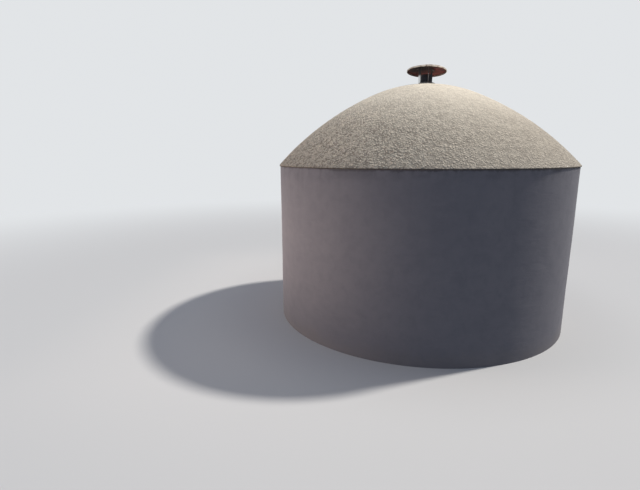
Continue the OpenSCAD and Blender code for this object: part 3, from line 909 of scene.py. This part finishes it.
iron = Finish("japanned iron")
iron_cloud = iron.cloud(42.0, 5.0, 0.65, 0.5)
iron_fine = iron.cloud(190.0, 3.0)
iron_rust = iron.between(iron_cloud, 0.54, 0.66)
iron.surface(
    Base_Color=iron.layers(
        iron.blend(iron_fine, (0.018, 0.017, 0.017), (0.040, 0.038, 0.037)),
        (iron_rust * 0.65, (0.150, 0.066, 0.034))),
    Roughness=0.38 + 0.42 * iron_rust,
    Metallic=0.55 - 0.45 * iron_rust,
    Normal=iron.relief(iron_cloud * 0.6 + iron_fine * 0.4, 0.0005))
ironwork = {
    "upper_hinge_strap": "hinge_arm_upper", "upper_hinge_plate": "hinge_leaf_upper",
    "lower_hinge_strap": "hinge_arm_lower", "lower_hinge_plate": "hinge_leaf_lower",
    "bolt_plate": "iron_bolt_plate", "bolt_bar": "iron_bolt_bar",
    "bolt_keep": "iron_bolt_keep", "pull_handle": "iron_pull_handle"}
for node, name in ironwork.items():
    arrised(node, name, iron, radius=0.0006, segments=2)

brown_steel = Finish("brown steel")
brown_cloud = brown_steel.cloud(60.0, 4.0, 0.6)
brown_steel.surface(
    Base_Color=brown_steel.blend(brown_cloud, (0.060, 0.040, 0.030), (0.150, 0.098, 0.068)),
    Roughness=0.52 + 0.25 * brown_cloud,
    Metallic=0.5,
    Normal=brown_steel.relief(brown_cloud, 0.0002))

ledge_mids = (1.209, 0.735, 0.261)
hinge_heights = (ledge_mids[0], ledge_mids[2])
pin_x, bolt_z = -0.3455, 0.850
plate_face, nail_face = board_front - 0.003, board_front + 0.0016


def facing_out(x, y, z, turn=0.0):
    return (Matrix.Translation((x, y, z))
            @ Matrix.Rotation(pi / 2, 4, "X") @ Matrix.Rotation(turn, 4, "Z"))


coach_head = turned(
    [(0, 0.0045), (0.0030, 0.0042), (0.0060, 0.0030), (0.0080, 0.0008), (0.0082, -0.001)],
    steps=20)
coach_bolts = bmesh.new()
put(coach_bolts, coach_head, [
    facing_out(pin_x + out, plate_face, z) for z in hinge_heights for out in (0.055, 0.160, 0.275)])
piece(coach_bolts, "coach_bolts", iron)

slot_half = 0.0005
half_head = turned(
    [(0, 0.0012), (0.0020, 0.0011), (0.0036, 0.0006), (0.0043, 0), (0.0043, -0.0012),
     (0, -0.0012)], steps=20)
bmesh.ops.bisect_plane(
    half_head, geom=half_head.verts[:] + half_head.edges[:] + half_head.faces[:],
    plane_co=(slot_half, 0, 0), plane_no=(1, 0, 0), clear_inner=True)
bmesh.ops.holes_fill(half_head, edges=[e for e in half_head.edges if e.is_boundary], sides=0)
slot_floor = turned([(0, -0.0002), (0.0041, -0.0002), (0.0041, -0.0012), (0, -0.0012)], steps=20)
screw = bmesh.new()
put(screw, half_head, [Matrix(), Matrix.Rotation(pi, 4, "Z")])
put(screw, slot_floor, [Matrix()])
spots = [(x, bolt_z + rise) for x in (0.213, 0.331) for rise in (-0.016, 0.016)]
spots += [(-0.3665, z + rise) for z in hinge_heights for rise in (-0.042, 0.042)]
spots += [(0.3635, bolt_z + rise) for rise in (-0.0165, 0.0165)]
screws = bmesh.new()
put(screws, screw, [facing_out(x, plate_face, z, 0.9 * k) for k, (x, z) in enumerate(spots)])
piece(screws, "plate_screws", brown_steel)

nail_out, nail_rise, nail_clear = 0.27, 0.024, 0.038
nail = turned([(0, 0.0010), (0.0018, 0.0009), (0.0030, 0.0004), (0.0033, -0.0030)], steps=10)
nails = bmesh.new()
for i in range(board_count):
    for z in ledge_mids:
        for side in (-1, 1):
            x = board_x(i) + side * nail_out * board_w
            x += 0.003 * noise.noise(Vector((i, z, side * 2)))
            rise = side * nail_rise + 0.006 * noise.noise(Vector((i * 1.7, z * 3, side)))
            if z in hinge_heights and x < pin_x + 0.34 and abs(rise) < 0.026:
                rise = side * nail_clear
            put(nails, nail, [facing_out(x, nail_face, z + rise)])
piece(nails, "door_nails", brown_steel)


# The stage is a plain pale floor that runs out to a pale sky. A soft sun behind and to the right
# lights the dome, a softbox overhead fills its near side, and a low one on the left lifts the wall.

def backdrop_rays(nodes):
    """1 for the rays that show the backdrop, straight or by way of metal or glass."""
    straight, mirrored, through = (
        nodes.node("ShaderNodeLightPath", out=f"Is {kind} Ray")
        for kind in ("Camera", "Glossy", "Transmission"))
    return nodes.greater(straight, nodes.greater(mirrored, through))


sky_tone = (0.76, 0.78, 0.80, 1.0)
floor_r, fade_from, fade_to = 60.0, 4.5, 13.0
floor = bmesh.new()
bmesh.ops.create_circle(floor, cap_ends=True, segments=96, radius=floor_r)
floor_mesh = bpy.data.meshes.new("studio_floor")
floor.to_mesh(floor_mesh)
floor.free()
studio_floor = bpy.data.objects.new("studio_floor", floor_mesh)
bpy.context.scene.collection.objects.link(studio_floor)
paving = Finish("studio floor")
floor_mesh.materials.append(paving.material)
seen = backdrop_rays(paving)
paving.surface(
    Base_Color=paving.blend(seen, (0.118, 0.122, 0.138), (0.60, 0.60, 0.595)),
    Roughness=0.9)
far_off = paving.between(paving.off(0, 0), fade_from, fade_to)
glow = paving.node("ShaderNodeEmission", None, {"Color": sky_tone, "Strength": 1.0})
joined = paving.node("ShaderNodeMixShader", None, {
    0: far_off * seen, 1: Field(paving, paving.shader.outputs[0]), 2: glow})
paving.connect(paving.tree.nodes["Material Output"], {"Surface": joined})

world = bpy.data.worlds.new("pale studio")
bpy.context.scene.world = world
world.use_nodes = True
sky = Nodes(world.node_tree)
ambient = sky.tree.nodes["Background"]
sky.connect(ambient, {"Color": (0.64, 0.76, 1.0, 1.0), "Strength": 0.31})
shown = sky.node("ShaderNodeBackground", None, {"Color": sky_tone, "Strength": 1.0})
choice = sky.node("ShaderNodeMixShader", None, {
    0: backdrop_rays(sky), 1: Field(sky, ambient.outputs[0]), 2: shown})
sky.connect(sky.tree.nodes["World Output"], {"Surface": choice})


def lamp(name, kind, side, energy, tone):
    """A lamp whose light comes from one side."""
    light = bpy.data.lights.new(name, kind)
    light.energy = energy
    light.color = tone
    stand = bpy.data.objects.new(name, light)
    stand.rotation_euler = Vector(side).to_track_quat("Z", "Y").to_euler()
    bpy.context.scene.collection.objects.link(stand)
    return stand


def softbox(name, place, side, size, energy, spread, tone):
    stand = lamp(name, "AREA", side, energy, tone)
    stand.location = place
    stand.visible_camera = False
    stand.data.shape = "RECTANGLE"
    stand.data.size, stand.data.size_y = size
    stand.data.spread = radians(spread)


sun = lamp("key", "SUN", side=(-0.621, -0.21, 0.755), energy=3.0, tone=(1.0, 0.955, 0.90))
sun.data.angle = radians(4)
softbox("low softbox", place=(4.83, -0.42, 0.95), side=(4.83, -0.42, 0.0), size=(5.0, 0.9),
        energy=24, spread=54, tone=(1.0, 0.80, 0.68))
softbox("top softbox", place=(0.0, 0.7, 4.5), side=(0.0, 0.2, 1.0), size=(1.4, 1.4),
        energy=24, spread=180, tone=(1.0, 0.965, 0.92))

camera = bpy.data.cameras.new("camera")
camera.lens = 23.893
camera.sensor_width = 36
viewer = bpy.data.objects.new("camera", camera)
bpy.context.scene.collection.objects.link(viewer)
eye = (1.0809, 4.6844, 1.7124)
dip, roll = 0.2090, -0.0032
ahead = Vector((0, -cos(dip), -sin(dip)))
level = Vector((-1, 0, 0))
upward = level.cross(ahead)
across = cos(roll) * level + sin(roll) * upward
upward = cos(roll) * upward - sin(roll) * level
stance = Matrix((across, upward, -ahead)).transposed().to_4x4()
viewer.matrix_world = Matrix.Translation(eye) @ stance
bpy.context.scene.camera = viewer

bpy.context.scene.view_settings.view_transform = "Standard"
